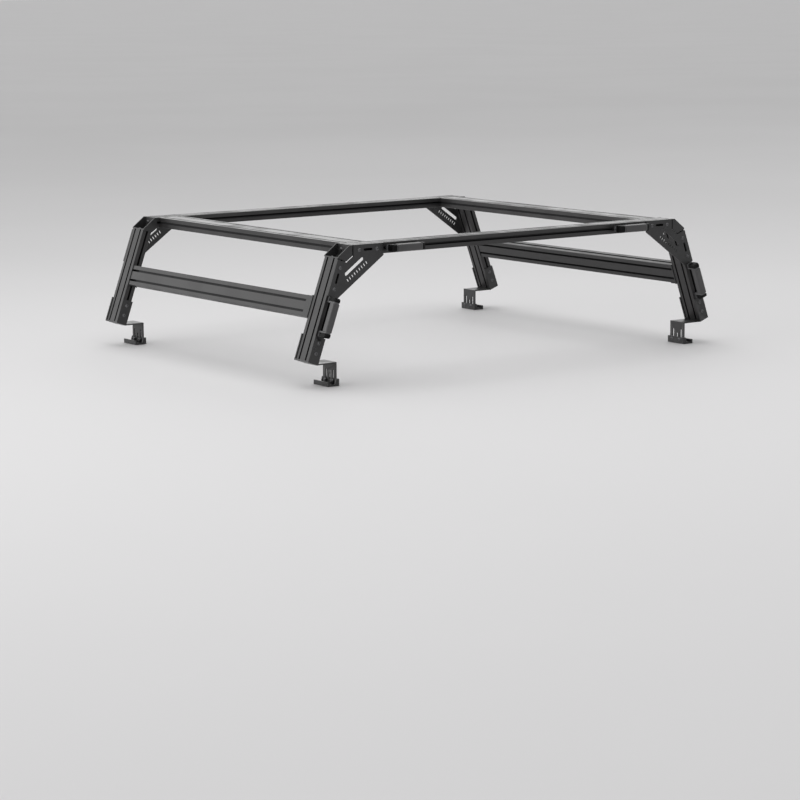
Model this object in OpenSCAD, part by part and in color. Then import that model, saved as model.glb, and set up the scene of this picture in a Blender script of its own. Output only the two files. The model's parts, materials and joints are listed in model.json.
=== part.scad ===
// Ladder rack for a pickup bed: two leaning-leg hoops of slotted aluminium profile, joined by
// flat top rails and height-adjustable side rails, clamped over the bed rails.
// X runs across the vehicle (right is +X), Y runs forwards, Z is up.
// Z = 0 is the plane that the lowest clamp faces touch, below the centre of the rack.

/* [Rack] */
// Outer length of the rack over both hoops
rack_length = 1372; // [1100:1:1900]
// Length of each crossbar
crossbar_length = 1488; // [1240:1:1800]
// Height of the crossbar tops above the bed rails
rack_height = 406; // [380:1:500]
// Lean of the legs towards the middle, in degrees
leg_lean = 20; // [12:1:22]
// Distance from the inner corner of a hoop back to the end of each profile
corner_setback = 18; // [14:1:24]

/* [Profile] */
// Wide side of the leg, crossbar and side rail profile
profile_width = 76.2; // [70:0.1:100]
// Narrow side of every profile
profile_thick = 38.1; // [36:0.1:46]
// Width of the flat top rails
rail_width = 101.6; // [90:0.1:130]
// Distance of a top rail in from the crossbar end
rail_inset = 12.7; // [6:0.1:30]
// Radius along the profile edges
edge_radius = 1.6; // [0.5:0.1:3]
// Width of a slot at its mouth
slot_mouth = 8.2; // [8:0.1:9]
// Thickness of the lips beside a slot mouth
slot_lip = 2.8; // [2:0.1:3.2]
// Width of a slot behind its lips
slot_width = 20.4; // [19:0.1:21]
// Full depth of a slot
slot_depth = 11.2; // [10:0.1:11.6]
// Diameter of the screw bores along the profiles
core_bore = 7.2; // [6.6:0.1:7.6]
// Wall around the hollow between the bores
web = 3; // [2:0.1:4]

/* [Corner brackets and gussets] */
// Thickness of the corner bracket sheet
bracket_sheet = 4; // [3:0.1:5]
// Flat at the top of a corner bracket before its slanted opening
top_land = 10; // [6:0.5:14]
// Flat at the leg side of a corner bracket before its slanted opening
side_land = 6; // [4:0.5:10]
// Thickness of a gusset plate
gusset_plate = 4.8; // [3:0.1:6]
// Gap between a gusset and the corner bracket
gusset_gap = 4.5; // [3:0.5:8]
// Length of each gusset arm
gusset_arm = 128; // [120:1:150]
// Depth of a gusset arm end beyond its profile
arm_drop = 5; // [2:0.5:10]
// Distance from a profile end to the first gusset bolt
bolt_inset = 29; // [26:1:34]
// Spacing of the two bolts in an arm
bolt_pitch = 76; // [70:1:80]
// Length of the slot between the two bolts
arm_slot = 38; // [24:1:42]
// Length of the large slanted slot
big_slot_length = 95; // [70:1:105]
// Width of the large slanted slot
big_slot_width = 13; // [8:0.5:16]
// Distance of the large slot from the inner corner
big_slot_place = 45; // [36:1:48]
// Distance of the row of short slots from the inner corner
row_place = 67; // [64:1:70]
// Number of short slots in the row
row_count = 9; // [5:2:9]
// Spacing of the short slots
row_pitch = 12.2; // [10:0.1:13]
// Length of a short slot
row_slot_length = 13; // [8:0.5:14]
// Width of a short slot
row_slot_width = 5.2; // [3:0.1:6]

/* [Side rails] */
// Distance down the leg from its top end to the top of a side rail
side_rail_drop = 142; // [130:1:150]
// Upward travel of a side rail along the legs
side_rail_up = 100; // [40:1:120]
// Downward travel of a side rail along the legs
side_rail_down = 30; // [0:1:34]
// Thickness of the plate between a side rail and a leg
end_plate = 5; // [4:0.1:8]
// Length of the angle over the rear end of a side rail
sleeve_length = 28; // [20:1:40]
// Thickness of that angle
sleeve_wall = 2.5; // [2:0.1:4]
// Distance of the slot cover from the front end of a side rail
cover_setback = 46; // [10:1:80]
// Clearance between a side rail's end parts and the legs
slide_gap = 0.4; // [0.3:0.1:1]

/* [Feet and clamps] */
// Thickness of the foot bracket plate
foot_plate = 5; // [4:0.1:6]
// Height of the foot cheeks along the leg
cheek_height = 95; // [90:1:100]
// Height of the lower bolt in a cheek
cheek_bolt_low = 36; // [30:1:40]
// Spacing of the two bolts in a cheek
cheek_bolt_pitch = 38; // [30:1:40]
// Margin of a cheek beyond each side of the leg
cheek_margin = 3; // [1:0.5:6]
// Reach of the foot inwards over the bed rail
foot_reach = 81; // [60:1:110]
// Depth of the flange below the bed rail top
flange_depth = 70; // [66:1:80]
// Thickness of a clamp jaw's side walls
jaw_side = 5.5; // [4:0.1:8]
// Thickness of a clamp jaw
jaw_plate = 6; // [5:0.1:8]
// Height of a clamp jaw
jaw_height = 25; // [24:1:34]
// Reach of a jaw outwards, from the flange to the outer side of its lip
jaw_reach = 36; // [30:1:50]
// Height of the turned-up jaw lip
jaw_lip = 16; // [12:1:20]
// Spacing of the two clamp slots
clamp_pitch = 42; // [34:1:46]
// Upward travel of a clamp jaw
jaw_travel = 36; // [20:1:36]
// Height of the clamp bolts above the floor of a jaw
bolt_rise = 9.4; // [9:0.1:12]
// Distance of the lowest clamp bolt place from the flange's lower edge
flange_margin = 7; // [6:0.5:8]
// Clearance between a jaw and its flange
jaw_gap = 0.4; // [0.3:0.1:1]

/* [Handles] */
// Length of a crossbar handle between its end caps
handle_length = 112; // [90:1:112]
// Gap between a leg handle and the gusset above it, and the same to the foot below it
handle_gap = 1.4; // [1:0.1:6]
// Length of the foot that each arm turns outwards along the profile, below a rounded end cap
handle_foot = 15; // [14:0.5:15]
// Width and depth of the grip
grip_width = 27; // [22:1:34]
// Rounding along the long edges of the grip and its end caps
grip_round = 7; // [4:0.5:9]
// Distance of the grip's centre from the profile face
grip_standoff = 33; // [28:1:50]
// Diameter of the pins that carry the grip
grip_pin = 12; // [8:0.5:14]
// Depth of a pin in the grip
pin_depth = 14; // [8:1:20]
// Thickness of a handle arm
arm_sheet = 5; // [4:0.5:6]
// Width of a handle arm
arm_width = 22; // [18:1:24]
// Distance from the middle of the rack to a crossbar handle's centre
handle_place = 525; // [300:1:530]

/* [Fasteners] */
// Thread diameter of the bolts
bolt_diameter = 8; // [6:0.5:8]
// Clearance of a bolt in its hole, on the diameter
bolt_clearance = 0.6; // [0.4:0.1:1]
// Diameter of a bolt head
head_diameter = 14; // [12:0.5:16]
// Height of a bolt head
head_height = 4.4; // [3:0.1:6]
// Hexagon key size across the flats
key_size = 5; // [4:0.5:6]
// Thickness of the nuts that run in the slots
t_nut_height = 5; // [4:0.1:6]
// Size of the clamp nuts across their flats
nut_across = 13; // [11:0.5:13]
// Height of the clamp nuts
nut_height = 6.5; // [5:0.1:7]
// Depth of the end screws in the profile bores
screw_depth = 22; // [15:1:30]

/* [Hidden] */
$fn = 48;

LEFT = -1;
RIGHT = 1;
REAR = -1;
FRONT = 1;
black = "#26282a";
satin = "#3a3c3f";
steel = "#55585b";

// Heights of the clamp bolts, the bed rail tops and the crossbar tops above the lowest clamp face
bolt_height = jaw_plate + bolt_rise;
bed_plane = bolt_height - flange_margin + flange_depth;
top_plane = bed_plane + rack_height;
// The rear handles stand further out than the front bolt heads, which sets the Y origin
proud_rear = grip_standoff + grip_width / 2;
cap_reach = proud_rear - 0.3;
cap_clear = arm_sheet + head_height + 1.2;
proud_front = max(gusset_plate, foot_plate) + head_height;
hoop_rear = -(rack_length + proud_front - proud_rear) / 2;
hoop_front = hoop_rear + rack_length;
side_rail_length = rack_length - 2 * profile_width - 2 * end_plate - 2 * slide_gap;
bar_end = crossbar_length / 2;
inner_x = bar_end + corner_setback;
inner_z = top_plane - profile_thick;
half_turn = (90 - leg_lean) / 2;
// Distance down the leg line to the underside of the seat
seat_down = (rack_height - profile_thick - cheek_margin * sin(leg_lean)) / cos(leg_lean);
leg_bottom = seat_down - foot_plate;
leg_length = leg_bottom - corner_setback;
bolt_hole = bolt_diameter + bolt_clearance;
bore_screw = core_bore - 0.3;
key_hole = key_size + 2;
nut_flat = slot_width - 1.6;
key_depth = head_height * 0.6;
flange_x = inner_x + seat_down * sin(leg_lean) - cheek_margin * cos(leg_lean) - foot_reach;
gusset_notch = corner_setback + gusset_gap;
rail_centre = bar_end - rail_inset - rail_width / 2;
// A leg handle sits midway between the gusset's end and the foot's cheek
leg_handle_down = (gusset_notch + gusset_arm + seat_down - cheek_height) / 2;
leg_handle_room = seat_down - cheek_height - gusset_notch - gusset_arm;
leg_handle_length = leg_handle_room - 2 * (handle_foot + handle_gap);
notch_drop = gusset_gap * (1 - sin(half_turn)) / cos(half_turn);

// A point of the hoop's own plane from its place across and up the right leg
function leg_point(across, up) = [
    inner_x + across * cos(leg_lean) - up * sin(leg_lean),
    inner_z + across * sin(leg_lean) + up * cos(leg_lean)
];
function bar_point(dx, dz) = [inner_x + dx, inner_z + dz];

// ---- Placing ----

// Puts a part drawn for the rear right corner at any corner; y = 0 is the hoop's outer face
module at_corner(side, end) {
    translate([0, end == REAR ? hoop_rear : hoop_front, 0])
        mirror([side < 0 ? 1 : 0, 0, 0])
            mirror([0, end == REAR ? 0 : 1, 0])
                children();
}

module on_side(side) {
    mirror([side < 0 ? 1 : 0, 0, 0]) children();
}

// Local X is outwards across the leg, Z is up the leg, from the hoop's inner corner
module leg_frame() {
    translate([inner_x, 0, inner_z]) rotate([0, -leg_lean, 0]) children();
}

// Turns a flat outline of the hoop plane into a plate from y = -thickness to y = 0
module hoop_plate(thickness) {
    rotate([90, 0, 0]) linear_extrude(thickness) children();
}

// ---- Outlines ----

module slot_outline(length, width) {
    square([length - width, width], center = true);
    for (end = [-1, 1]) translate([end * (length - width) / 2, 0]) circle(d = width);
}

module rounded_outline(width, height, radius) {
    square([width - 2 * radius, height], center = true);
    square([width, height - 2 * radius], center = true);
    for (x = [-1, 1], y = [-1, 1])
        translate([x * (width / 2 - radius), y * (height / 2 - radius)]) circle(r = radius);
}

// One undercut slot, cut downwards from y = 0
module slot_cut() {
    polygon([
        [-slot_mouth / 2, 1], [-slot_mouth / 2, -slot_lip], [-slot_width / 2, -slot_lip],
        [-slot_width / 2, -slot_depth / 2], [-slot_mouth / 2 - 1, -slot_depth],
        [slot_mouth / 2 + 1, -slot_depth], [slot_width / 2, -slot_depth / 2],
        [slot_width / 2, -slot_lip], [slot_mouth / 2, -slot_lip], [slot_mouth / 2, 1]
    ]);
}

// Section of a slotted profile, with its wide side along X
module profile_outline(width) {
    cell = (width - profile_thick) / 2;
    hollow = cell - slot_width / 2 - web;
    difference() {
        rounded_outline(width, profile_thick, edge_radius);
        for (x = [-1, 1]) {
            translate([x * cell, profile_thick / 2]) slot_cut();
            translate([x * cell, -profile_thick / 2]) rotate(180) slot_cut();
            translate([x * width / 2, 0]) rotate(-90 * x) slot_cut();
            translate([x * cell, 0]) circle(d = core_bore);
        }
        if (hollow > web)
            square([2 * hollow, profile_thick - 2 * web], center = true);
        else
            rotate(45) square(profile_thick / 3, center = true);
    }
}

module profile(width, length) {
    linear_extrude(length) profile_outline(width);
}

// ---- Fasteners ----

// Button head with its underside at z = 0, the shank runs down
module bolt(length, diameter = bolt_diameter) {
    difference() {
        union() {
            cylinder(d1 = head_diameter, d2 = head_diameter * 0.62, h = head_height);
            translate([0, 0, -length]) cylinder(d = diameter, h = length + 0.01);
        }
        translate([0, 0, head_height - key_depth])
            cylinder(d = key_size / cos(30), h = head_height, $fn = 6);
    }
}

// Nut that runs in a slot, its top face against the lips at z = 0, long side along X
module slot_nut() {
    translate([0, 0, -t_nut_height])
        linear_extrude(t_nut_height - 0.1) difference() {
            square([nut_flat, slot_width - 4.5], center = true);
            circle(d = bolt_diameter + 0.3);
        }
}

// ---- Main profiles ----

module crossbar() {
    color(satin)
        difference() {
            translate([-bar_end, profile_width / 2, top_plane - profile_thick / 2])
                rotate([0, 90, 0]) rotate(90) profile(profile_width, crossbar_length);
            for (side = [-1, 1], bore = [-1, 1])
                translate([side * rail_centre + bore * (rail_width - profile_thick) / 2,
                           -1, top_plane - profile_thick / 2])
                    rotate([-90, 0, 0]) cylinder(d = key_hole, h = profile_width - slot_depth + 2);
        }
}

module top_rail() {
    color(satin)
        translate([rail_centre, hoop_front - profile_width, top_plane - profile_thick / 2])
            rotate([90, 0, 0]) profile(rail_width, rack_length - 2 * profile_width);
}

module leg() {
    color(satin)
        leg_frame()
            translate([profile_thick / 2, profile_width / 2, -leg_bottom])
                rotate(90) profile(profile_width, leg_length);
}

module side_rail_place(side) {
    on_side(side) leg_frame()
        translate([profile_thick / 2, 0, -corner_setback - side_rail_drop - profile_width / 2])
            children();
}

module side_rail(side) {
    color(satin)
        side_rail_place(side)
            translate([0, hoop_front - profile_width - slide_gap - end_plate, 0])
                rotate([90, 0, 0]) rotate(90) profile(profile_width, side_rail_length);
}

// Plates at both ends; the rear one has an angle along the rail's outer side and underside
module side_rail_ends(side) {
    rear_face = hoop_rear + profile_width + slide_gap;
    front_face = hoop_front - profile_width - slide_gap - end_plate;
    color(black) side_rail_place(side) {
        end_plate_at(rear_face);
        end_plate_at(front_face);
        translate([0, rear_face + end_plate - 0.01, 0]) {
            translate([profile_thick / 2 + 0.05, 0, -profile_width / 2 - sleeve_wall])
                cube([sleeve_wall, sleeve_length, profile_width + sleeve_wall]);
            translate([-profile_thick / 2, 0, -profile_width / 2 - sleeve_wall])
                cube([profile_thick + sleeve_wall, sleeve_length, sleeve_wall - 0.1]);
        }
    }
}

// Plate with two holes for the rail's end screws
module end_plate_at(y) {
    depth = profile_width + 2 * sleeve_wall;
    translate([0, y + end_plate, 0]) rotate([90, 0, 0])
        linear_extrude(end_plate) difference() {
            square([profile_thick + 2 * sleeve_wall, depth], center = true);
            for (z = [-1, 1]) translate([0, z * (profile_width - profile_thick) / 2])
                circle(d = bolt_hole);
        }
}

// Screws in the rail ends; their heads slide in the leg slots until they are tightened
module side_rail_fasteners(side) {
    cell = (profile_width - profile_thick) / 2;
    grip = slot_lip + 2 * slide_gap + end_plate + screw_depth;
    head_rear = hoop_rear + profile_width - slot_lip - slide_gap;
    head_front = hoop_front - profile_width + slot_lip + slide_gap;
    color(steel) side_rail_place(side)
        for (z = [-1, 1]) {
            translate([0, head_rear, z * cell]) rotate([90, 0, 0]) bolt(grip, bore_screw);
            translate([0, head_front, z * cell]) rotate([-90, 0, 0]) bolt(grip, bore_screw);
        }
}

// Strips that close the two outer slots of a side rail
module side_rail_covers(side) {
    cell = (profile_width - profile_thick) / 2;
    start = hoop_rear + profile_width + slide_gap + end_plate + sleeve_length;
    length = side_rail_length - sleeve_length - cover_setback;
    color(satin) side_rail_place(side)
        for (z = [-1, 1])
            translate([profile_thick / 2, start, z * cell])
                rotate([-90, 0, 0]) rotate(-90) slot_cover(length);
}

// Cover strip along Z whose outer face is just below y = 0, with two legs inside the mouth
module slot_cover(length) {
    play = 0.2;
    sink = 1.5;
    strip = 1.2;
    leg = 1.2;
    width = slot_mouth - 2 * play;
    linear_extrude(length) {
        translate([-width / 2, -sink - strip]) square([width, strip]);
        for (x = [-width / 2, width / 2 - leg])
            translate([x, -sink - 2 * strip]) square([leg, strip + 0.1]);
    }
}

module crossbar_covers(end) {
    to_handle = handle_place - (handle_length + handle_foot + nut_flat) / 2 - 1;
    to_gusset = inner_x - gusset_notch - gusset_arm;
    length = 2 * (end == REAR ? to_handle : to_gusset);
    inner_length = 2 * (rail_centre - rail_width / 2);
    color(satin) {
        translate([-length / 2, 0, top_plane - profile_thick / 2])
            rotate([0, 90, 0]) rotate(90) mirror([0, 1, 0]) slot_cover(length);
        translate([-inner_length / 2, profile_width, top_plane - profile_thick / 2])
            rotate([0, 90, 0]) rotate(90) slot_cover(inner_length);
    }
}

module top_rail_covers() {
    length = rack_length - 2 * profile_width;
    color(satin)
        for (face = [-1, 1])
            translate([rail_centre + face * rail_width / 2, hoop_rear + profile_width,
                       top_plane - profile_thick / 2])
                rotate([-90, 0, 0]) rotate(-90 * face) slot_cover(length);
}

// ---- Corners ----

function cheek_points() = [
    bar_point(-corner_setback, profile_thick),
    bar_point(-corner_setback + top_land, profile_thick),
    leg_point(profile_thick, -corner_setback + side_land),
    leg_point(profile_thick, -corner_setback),
    leg_point(0, -corner_setback),
    bar_point(-corner_setback, 0)
];

// Open-topped box between the crossbar end and the leg end
module corner_bracket() {
    color(black) difference() {
        union() {
            hoop_plate(bracket_sheet) polygon(cheek_points());
            translate([0, profile_width + bracket_sheet, 0])
                hoop_plate(bracket_sheet) polygon(cheek_points());
            translate([0, profile_width + bracket_sheet / 2, 0])
                hoop_plate(profile_width + bracket_sheet) corner_webs();
        }
        corner_screw_places() cylinder(d = bolt_hole, h = 3 * bracket_sheet, center = true);
    }
}

// Sheets against the crossbar end and the leg end, and the diagonal sheet below them
module corner_webs() {
    web_length = 2 * corner_setback * cos(half_turn);
    translate([bar_end, inner_z]) square([bracket_sheet, profile_thick - 0.01]);
    translate(leg_point(0, -corner_setback)) rotate(leg_lean) square([profile_thick - 0.01, bracket_sheet]);
    translate([bar_end, inner_z]) rotate(-half_turn) square([web_length, bracket_sheet]);
}

// Four screw places with Z pointing into the bracket
module corner_screw_places() {
    cell = (profile_width - profile_thick) / 2;
    for (y = [profile_width / 2 - cell, profile_width / 2 + cell]) {
        translate([bar_end + bracket_sheet, y, inner_z + profile_thick / 2])
            rotate([0, 90, 0]) children();
        leg_frame() translate([profile_thick / 2, y, -corner_setback + bracket_sheet])
            children();
    }
}

module corner_screws() {
    color(steel) corner_screw_places() bolt(bracket_sheet + screw_depth, bore_screw);
}

function gusset_points() = [
    bar_point(-gusset_notch, profile_thick),
    bar_point(-gusset_notch - gusset_arm, profile_thick),
    bar_point(-gusset_notch - gusset_arm, -arm_drop),
    leg_point(-arm_drop, -gusset_notch - gusset_arm),
    leg_point(profile_thick, -gusset_notch - gusset_arm),
    leg_point(profile_thick, -gusset_notch),
    leg_point(-notch_drop, -gusset_notch),
    bar_point(-gusset_notch, -notch_drop)
];

module gusset() {
    color(black)
        hoop_plate(gusset_plate) difference() {
            polygon(gusset_points());
            gusset_bolt_points() circle(d = bolt_hole);
            gusset_slot_points() slot_outline(arm_slot, bolt_hole);
            across_corner(big_slot_place) slot_outline(big_slot_length, big_slot_width);
            across_corner(row_place)
                for (i = [-(row_count - 1) / 2 : (row_count - 1) / 2])
                    translate([i * row_pitch, 0]) rotate(90) slot_outline(row_slot_length, row_slot_width);
        }
}

// Local Y points away from the inner corner and X runs along the gusset's slanted edge
module across_corner(distance) {
    translate(bar_point(0, 0)) rotate(-half_turn) translate([0, -distance]) children();
}

module gusset_bolt_points() {
    first = corner_setback + bolt_inset;
    for (place = [first, first + bolt_pitch]) {
        translate(bar_point(-place, profile_thick / 2)) children();
        translate(leg_point(profile_thick / 2, -place)) rotate(90 + leg_lean) children();
    }
}

module gusset_slot_points() {
    middle = corner_setback + bolt_inset + bolt_pitch / 2;
    translate(bar_point(-middle, profile_thick / 2)) children();
    translate(leg_point(profile_thick / 2, -middle)) rotate(90 + leg_lean) children();
}

module gusset_bolts() {
    color(steel) translate([0, -gusset_plate, 0]) rotate([90, 0, 0])
        gusset_bolt_points() bolt(gusset_plate + slot_lip + t_nut_height);
}

module gusset_slot_nuts() {
    color(steel) translate([0, slot_lip, 0]) rotate([90, 0, 0]) gusset_bolt_points() slot_nut();
}

// ---- Feet ----

module foot() {
    color(black) difference() {
        union() {
            leg_frame() {
                for (y = [-foot_plate, profile_width])
                    translate([-cheek_margin, y, -seat_down])
                        cube([profile_thick + 2 * cheek_margin, foot_plate, cheek_height]);
                translate([-cheek_margin, -0.01, -seat_down])
                    cube([profile_thick + 2 * cheek_margin, profile_width + 0.02, foot_plate]);
            }
            translate([flange_x, 0, bed_plane])
                cube([foot_reach + foot_plate * sin(leg_lean), profile_width, foot_plate * cos(leg_lean)]);
            translate([flange_x, 0, bed_plane - flange_depth])
                cube([foot_plate, profile_width, flange_depth + foot_plate * cos(leg_lean)]);
        }
        leg_frame() foot_bolt_places() cylinder(d = bolt_hole, h = 4 * foot_plate, center = true);
        for (y = [-1, 1]) clamp_slot(profile_width / 2 + y * clamp_pitch / 2, jaw_travel, 0);
        clamp_slot(profile_width / 2, jaw_travel / 3, jaw_travel / 4);
    }
}

// Upright slot in the flange, from its lowest bolt place upwards
module clamp_slot(y, travel, raise) {
    translate([flange_x - 1, y, bolt_height + raise + travel / 2])
        rotate([90, 0, 90]) linear_extrude(foot_plate + 2)
            rotate(90) slot_outline(travel + bolt_hole, bolt_hole);
}

module foot_bolt_places() {
    for (height = [cheek_bolt_low, cheek_bolt_low + cheek_bolt_pitch]) {
        translate([profile_thick / 2, -foot_plate, height - seat_down]) rotate([90, 0, 0]) children();
        translate([profile_thick / 2, profile_width + foot_plate, height - seat_down])
            rotate([-90, 0, 0]) children();
    }
}

module foot_bolts() {
    color(steel) leg_frame() foot_bolt_places() bolt(foot_plate + slot_lip + t_nut_height);
}

module foot_slot_nuts() {
    color(steel) leg_frame() foot_bolt_places()
        translate([0, 0, -foot_plate - slot_lip]) rotate(90) slot_nut();
}

// ---- Clamp jaws ----

// Band round the flange's lower end, with a floor outwards and a turned-up lip
module jaw() {
    jaw_width = profile_width + 2 * (jaw_gap + jaw_side);
    inner = flange_x - jaw_gap - jaw_plate;
    hook = flange_x + foot_plate + jaw_gap;
    lip_x = flange_x + foot_plate + jaw_reach;
    start = (profile_width - jaw_width) / 2;
    color(black) difference() {
        union() {
            translate([inner, start, 0]) cube([jaw_plate, jaw_width, jaw_height]);
            for (y = [start, start + jaw_width - jaw_side])
                translate([0, y + jaw_side, 0]) rotate([90, 0, 0])
                    linear_extrude(jaw_side) polygon([
                        [inner, 0], [hook + jaw_plate, 0], [hook + jaw_plate, jaw_plate],
                        [hook, jaw_height], [inner, jaw_height]
                    ]);
            translate([0, start + jaw_width, 0]) rotate([90, 0, 0])
                linear_extrude(jaw_width) polygon([
                    [hook, 0], [lip_x, 0], [lip_x, jaw_lip], [lip_x - jaw_plate, jaw_lip],
                    [lip_x - jaw_plate, jaw_plate], [hook, jaw_plate]
                ]);
        }
        clamp_bolt_places() cylinder(d = bolt_diameter + 0.1, h = 4 * jaw_plate, center = true);
    }
}

// Places on the inner side of the jaw, with Z pointing inwards
module clamp_bolt_places() {
    for (y = [-1, 1])
        translate([flange_x - jaw_gap - jaw_plate, profile_width / 2 + y * clamp_pitch / 2, bolt_height])
            rotate([0, -90, 0]) children();
}

// Bolts with their heads inwards and a nut each on the outer side of the flange
module jaw_bolts() {
    reach = jaw_plate + 2 * jaw_gap + foot_plate;
    color(steel) clamp_bolt_places() {
        bolt(reach + nut_height + 1.5);
        translate([0, 0, -reach - nut_height]) difference() {
            cylinder(d = nut_across / cos(30), h = nut_height, $fn = 6);
            translate([0, 0, -1]) cylinder(d = bolt_diameter + 0.1, h = nut_height + 2);
        }
    }
}

// ---- Handles ----

// Each handle is drawn along Z with its feet on the face y = 0 and its grip towards -Y
module handle_ends() {
    for (end = [0, 1]) mirror([0, 0, end]) children();
}

// Bent sheet: a foot on the profile and an upright that closes the end of the grip
module handle_arms(length = handle_length) {
    outer = length / 2;
    color(steel) handle_ends() difference() {
        union() {
            translate([-arm_width / 2, -arm_sheet, outer - arm_sheet])
                cube([arm_width, arm_sheet, arm_sheet + handle_foot]);
            translate([0, 0, outer - arm_sheet]) linear_extrude(arm_sheet) {
                translate([0, -grip_standoff]) rounded_outline(arm_width, arm_width, arm_sheet);
                translate([-arm_width / 2, -grip_standoff]) square([arm_width, grip_standoff]);
            }
        }
        translate([0, -grip_standoff, 0]) cylinder(d = grip_pin + 0.4, h = length);
        handle_bolt_place(length) cylinder(d = bolt_hole, h = 3 * arm_sheet, center = true);
    }
}

module handle_grip(length = handle_length) {
    between_arms = length - 2 * arm_sheet - 0.2;
    color(steel) translate([0, -grip_standoff, 0]) linear_extrude(between_arms, center = true)
        difference() {
            rounded_outline(grip_width, grip_width, grip_round);
            circle(d = grip_pin + 0.4);
        }
}

// Rounded corner blocks above the feet, each with a pin through the arm into the grip
module handle_caps(length = handle_length) {
    inner = length / 2 + 0.05;
    cap_width = grip_width - 1;
    color("#101112") handle_ends() {
        intersection() {
            translate([cap_width / 2, 0, inner]) rotate([0, -90, 0])
                linear_extrude(cap_width) cap_outline();
            translate([0, -(cap_reach + cap_clear) / 2, inner]) linear_extrude(handle_foot)
                rounded_outline(cap_width, cap_reach - cap_clear, grip_round);
        }
        translate([0, -grip_standoff, inner - arm_sheet - pin_depth])
            cylinder(d = grip_pin, h = pin_depth + arm_sheet + 1);
    }
}

// Side view of a cap: clear of the arm's screw, rounded at the outer corner
module cap_outline() {
    translate([0, handle_foot - cap_reach]) {
        square([handle_foot, cap_reach - handle_foot - cap_clear]);
        intersection() {
            circle(r = handle_foot);
            translate([0, -handle_foot]) square(handle_foot);
        }
    }
}
// Bolt place in one foot, with Z pointing away from the profile
module handle_bolt_place(length) {
    translate([0, -arm_sheet, (length + handle_foot) / 2]) rotate([90, 0, 0]) children();
}

module at_crossbar_handle(side) {
    translate([side * handle_place, hoop_rear, top_plane - profile_thick / 2])
        rotate([0, 90, 0]) children();
}

module at_leg_handle(side) {
    on_side(side) translate([0, hoop_rear, 0]) leg_frame()
        translate([profile_thick / 2, 0, -leg_handle_down]) children();
}

module handle_hardware_places() {
    for (side = [LEFT, RIGHT]) {
        at_crossbar_handle(side) handle_ends() handle_bolt_place(handle_length) children();
        at_leg_handle(side) handle_ends() handle_bolt_place(leg_handle_length) children();
    }
}

module handle_bolts() {
    color(steel) handle_hardware_places() bolt(arm_sheet + slot_lip + t_nut_height);
}

module handle_slot_nuts() {
    color(steel) handle_hardware_places()
        translate([0, 0, -arm_sheet - slot_lip]) rotate(90) slot_nut();
}

// ---- Top rail screws ----

// Screw heads sit in the crossbar's inner slot and the shanks run into the top rail bores
module top_rail_screws() {
    cell = (rail_width - profile_thick) / 2;
    color(steel)
        for (x = [rail_centre - cell, rail_centre + cell])
            translate([x, profile_width - slot_lip, top_plane - profile_thick / 2])
                rotate([90, 0, 0]) bolt(slot_lip + screw_depth, bore_screw);
}

module both_crossbar_covers() {
    for (end = [REAR, FRONT]) at_corner(RIGHT, end) crossbar_covers(end);
}

module both_top_rail_covers() {
    for (side = [LEFT, RIGHT]) on_side(side) top_rail_covers();
}

module at_all_corners() {
    for (side = [LEFT, RIGHT], end = [REAR, FRONT]) at_corner(side, end) children();
}

at_corner(RIGHT, REAR) crossbar();  // crossbar_rear
at_corner(RIGHT, FRONT) crossbar();  // crossbar_front
on_side(LEFT) top_rail();  // top_rail_left
on_side(RIGHT) top_rail();  // top_rail_right
at_corner(LEFT, REAR) leg();  // leg_rear_left
at_corner(RIGHT, REAR) leg();  // leg_rear_right
at_corner(LEFT, FRONT) leg();  // leg_front_left
at_corner(RIGHT, FRONT) leg();  // leg_front_right
at_corner(LEFT, REAR) corner_bracket();  // corner_bracket_rear_left
at_corner(RIGHT, REAR) corner_bracket();  // corner_bracket_rear_right
at_corner(LEFT, FRONT) corner_bracket();  // corner_bracket_front_left
at_corner(RIGHT, FRONT) corner_bracket();  // corner_bracket_front_right
at_corner(LEFT, REAR) gusset();  // gusset_rear_left
at_corner(RIGHT, REAR) gusset();  // gusset_rear_right
at_corner(LEFT, FRONT) gusset();  // gusset_front_left
at_corner(RIGHT, FRONT) gusset();  // gusset_front_right
at_corner(LEFT, REAR) foot();  // foot_rear_left
at_corner(RIGHT, REAR) foot();  // foot_rear_right
at_corner(LEFT, FRONT) foot();  // foot_front_left
at_corner(RIGHT, FRONT) foot();  // foot_front_right
at_corner(LEFT, REAR) jaw();  // jaw_rear_left
at_corner(RIGHT, REAR) jaw();  // jaw_rear_right
at_corner(LEFT, FRONT) jaw();  // jaw_front_left
at_corner(RIGHT, FRONT) jaw();  // jaw_front_right
at_corner(LEFT, REAR) jaw_bolts();  // jaw_bolts_rear_left
at_corner(RIGHT, REAR) jaw_bolts();  // jaw_bolts_rear_right
at_corner(LEFT, FRONT) jaw_bolts();  // jaw_bolts_front_left
at_corner(RIGHT, FRONT) jaw_bolts();  // jaw_bolts_front_right
side_rail(LEFT);  // side_rail_left
side_rail(RIGHT);  // side_rail_right
side_rail_ends(LEFT);  // side_rail_ends_left
side_rail_ends(RIGHT);  // side_rail_ends_right
side_rail_covers(LEFT);  // side_rail_covers_left
side_rail_covers(RIGHT);  // side_rail_covers_right
side_rail_fasteners(LEFT);  // side_rail_fasteners_left
side_rail_fasteners(RIGHT);  // side_rail_fasteners_right
at_crossbar_handle(LEFT) handle_arms();  // handle_arms_crossbar_left
at_crossbar_handle(RIGHT) handle_arms();  // handle_arms_crossbar_right
at_leg_handle(LEFT) handle_arms(leg_handle_length);  // handle_arms_leg_left
at_leg_handle(RIGHT) handle_arms(leg_handle_length);  // handle_arms_leg_right
at_crossbar_handle(LEFT) handle_caps();  // handle_caps_crossbar_left
at_crossbar_handle(RIGHT) handle_caps();  // handle_caps_crossbar_right
at_leg_handle(LEFT) handle_caps(leg_handle_length);  // handle_caps_leg_left
at_leg_handle(RIGHT) handle_caps(leg_handle_length);  // handle_caps_leg_right
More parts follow.
